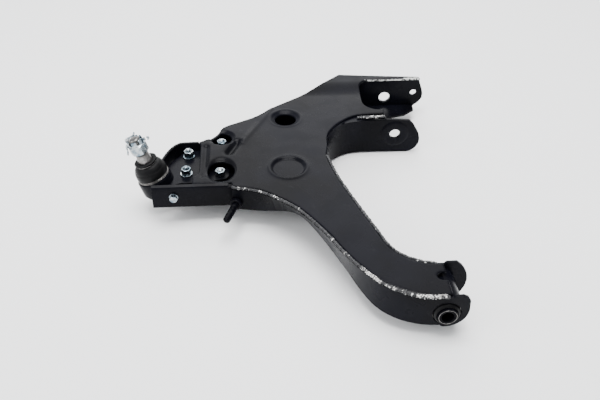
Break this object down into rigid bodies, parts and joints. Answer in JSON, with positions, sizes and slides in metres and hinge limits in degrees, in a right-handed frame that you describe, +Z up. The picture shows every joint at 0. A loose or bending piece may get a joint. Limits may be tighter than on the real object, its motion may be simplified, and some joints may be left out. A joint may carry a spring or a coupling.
{
  "type": "suspension control arm",
  "caption": "Welded box-section lower control arm with a bolted ball joint, a rubber pivot bush in its long leg and an open clevis at its other pivot.",
  "frame": {"origin": "centre of the arm's box in plan, on the plane of its lowest point", "axes": "+Y along the pivot axis, from the leg with the bush towards the clevis; +X from the ball joint towards the pivot axis; +Z up, out of the upper plate"},
  "size_m": [0.4697, 0.537, 0.1224],
  "materials": {
    "black_coat": "black electrocoat over pressed steel, satin, slightly wavy",
    "weld_bead": "coated weld bead with bare bright ripples",
    "zinc_plate": "bright zinc plate with a faint blue-green tint",
    "raw_steel": "machined bare steel, lightly oiled",
    "rubber": "matte black moulded rubber",
    "seat_polymer": "moulded acetal, unfilled"
  },
  "bodies": {
    "arm": {"upper_plate": "black_coat", "lower_plate": "black_coat", "front_wall": "black_coat", "leg_inner_wall": "black_coat", "clevis_near_wall": "black_coat", "clevis_far_wall": "black_coat", "rear_wall": "black_coat", "pocket_rim": "black_coat", "ball_end_wall": "black_coat", "ball_joint_carrier": "black_coat", "clevis_near_boss": "black_coat", "clevis_far_boss": "black_coat", "front_weld": "weld_bead", "leg_inner_weld": "weld_bead", "clevis_weld": "weld_bead", "bush_tube": "black_coat", "bush_outer_sleeve": "raw_steel", "bush_rubber": "rubber", "stud_collar": "black_coat", "threaded_stud": "black_coat", "ball_joint_housing": "black_coat", "lower_seat": "seat_polymer", "upper_seat": "seat_polymer", "housing_cap": "black_coat", "boot_lower_ring": "zinc_plate", "joint_bolt_1": "zinc_plate", "joint_bolt_2": "zinc_plate", "joint_bolt_3": "zinc_plate", "joint_bolt_4": "zinc_plate", "joint_nut_1": "zinc_plate", "joint_nut_2": "zinc_plate", "joint_nut_3": "zinc_plate", "joint_nut_4": "zinc_plate", "joint_washer_1": "zinc_plate", "joint_washer_2": "zinc_plate", "side_bolt": "zinc_plate", "side_washer": "zinc_plate", "side_nut": "zinc_plate"},
    "boot": {"dust_boot": "rubber"},
    "boot_collar": {"boot_upper_ring": "zinc_plate"},
    "ball_stud": {"ball_stud": "raw_steel", "castle_nut": "zinc_plate", "cotter_pin": "zinc_plate"},
    "bush_sleeve": {"bush_inner_sleeve": "black_coat"}
  },
  "joints": [
    {"name": "stud_swing_fore_aft", "type": "hinge", "parent": "arm", "child": "boot", "pos_m": [-0.19593, 0.01, 0.04452], "axis": [0.9537, 0, 0.3007], "range_deg": [-16, 16], "deforming": ["dust_boot"]},
    {"name": "stud_swing_in_out", "type": "hinge", "parent": "boot", "child": "boot_collar", "pos_m": [-0.19593, 0.01, 0.04452], "axis": [0, 1, 0], "range_deg": [-16, 16], "deforming": ["dust_boot"]},
    {"name": "stud_spin", "type": "hinge", "parent": "boot_collar", "child": "ball_stud", "pos_m": [-0.19593, 0.01, 0.04452], "axis": [-0.3007, 0, 0.9537], "continuous": true},
    {"name": "bush_twist", "type": "hinge", "parent": "arm", "child": "bush_sleeve", "pos_m": [0.17037, -0.232, 0.03492], "axis": [0, 1, 0], "range_deg": [-20, 20], "stiffness_Nm_per_rad": 12}
  ]
}
